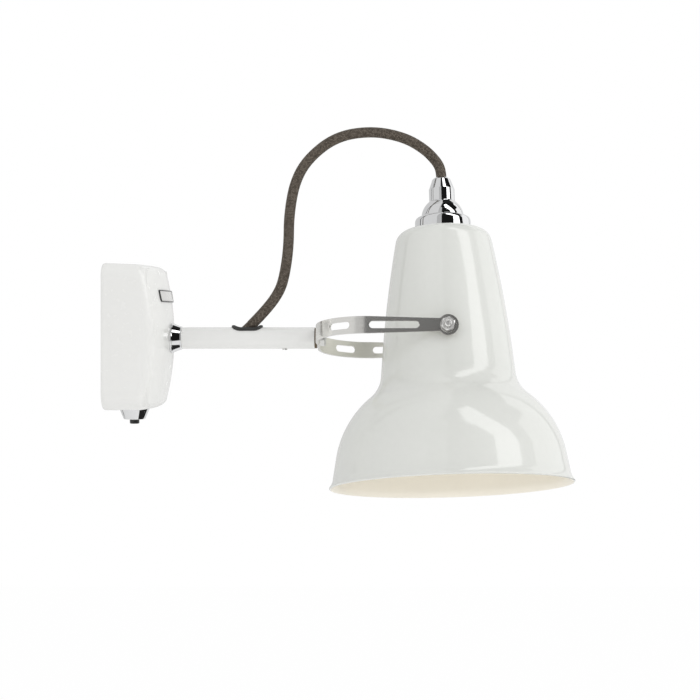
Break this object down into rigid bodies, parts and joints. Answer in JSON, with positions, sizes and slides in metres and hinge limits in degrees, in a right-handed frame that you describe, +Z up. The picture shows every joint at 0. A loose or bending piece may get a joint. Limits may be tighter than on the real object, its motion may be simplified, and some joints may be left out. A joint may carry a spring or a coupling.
{
  "type": "articulating wall lamp",
  "caption": "Wall lamp with a square switched base, a round arm, a slotted fork that swivels on it and a bell shade that tilts in the fork",
  "frame": {"origin": "on the wall plane where the arm's axis meets it, which is the middle of the two wall screws", "axes": "+X runs out from the wall along the arm, +Z is up, +Y completes a right-handed set"},
  "size_m": [0.2708, 0.1405, 0.2247],
  "materials": {
    "white_gloss": "glossy white enamel",
    "white_tube": "glossy white enamel on the arm",
    "white_shade": "glossy white enamel outside, warm white inside",
    "chrome": "polished chrome plate",
    "stainless": "polished stainless strip",
    "steel_fixings": "stainless fixings",
    "zinc_steel": "zinc-plated steel sheet",
    "brass": "plain brass",
    "black_rubber": "soft black rubber",
    "braid": "taupe woven braid",
    "core_brown": "brown insulation",
    "core_blue": "blue insulation",
    "core_black": "black insulation",
    "white_plastic": "white moulded plastic",
    "black_plastic": "black moulded plastic",
    "fibre": "brown vulcanised fibre",
    "opal_glass": "opal bulb glass"
  },
  "bodies": {
    "wall_base": {"base_housing": "white_gloss", "housing_set_screws": "steel_fixings", "wall_bracket": "zinc_steel", "terminal_block": "white_plastic", "terminal_sleeves": "brass", "terminal_clamp_screws": "brass", "terminal_fixing_screw": "zinc_steel", "switch_body": "black_plastic", "switch_bezel": "chrome", "live_core": "core_brown", "neutral_core": "core_blue", "switch_lead": "core_black", "arm_collar": "chrome", "arm_stud": "zinc_steel", "arm_washer": "zinc_steel", "arm_nut": "zinc_steel", "arm_tube": "white_tube", "arm_end_plug": "zinc_steel", "plug_screw": "steel_fixings", "cord_grommet": "black_rubber", "flex_in_arm": "braid", "friction_washer": "fibre", "fork_bolt": "steel_fixings", "flex_lower": "braid"},
    "button": {"switch_button": "black_plastic"},
    "fork_body": {"fork": "stainless", "fork_spring_washer": "steel_fixings", "flex_upper": "braid"},
    "shade_body": {"shade": "white_shade", "shade_collar": "chrome", "holder_dome": "chrome", "cord_grip": "chrome", "holder_nipple": "zinc_steel", "lampholder": "white_plastic", "holder_sleeve": "brass", "holder_contact": "brass", "bulb_cap": "zinc_steel", "bulb_globe": "opal_glass", "flex_in_grip": "braid", "ear_saddles": "fibre", "inner_saddles": "fibre", "pivot_bolts": "steel_fixings", "pivot_washers": "steel_fixings", "pivot_nuts": "steel_fixings"}
  },
  "joints": [
    {"name": "switch_press", "type": "slide", "parent": "wall_base", "child": "button", "axis": [0, 0, 1], "range_m": [0, 0.002], "stiffness_N_per_m": 200, "springref_m": -0.004},
    {"name": "fork_swivel", "type": "hinge", "parent": "wall_base", "child": "fork_body", "pos_m": [0.1199, 0, 0], "axis": [1, 0, 0], "range_deg": [-79, 101], "deforming": ["flex_lower"]},
    {"name": "shade_tilt", "type": "hinge", "parent": "fork_body", "child": "shade_body", "pos_m": [0.1966, 0, 0], "axis": [0, 0.9813, -0.1925], "range_deg": [-45, 32], "deforming": ["flex_upper"]}
  ]
}
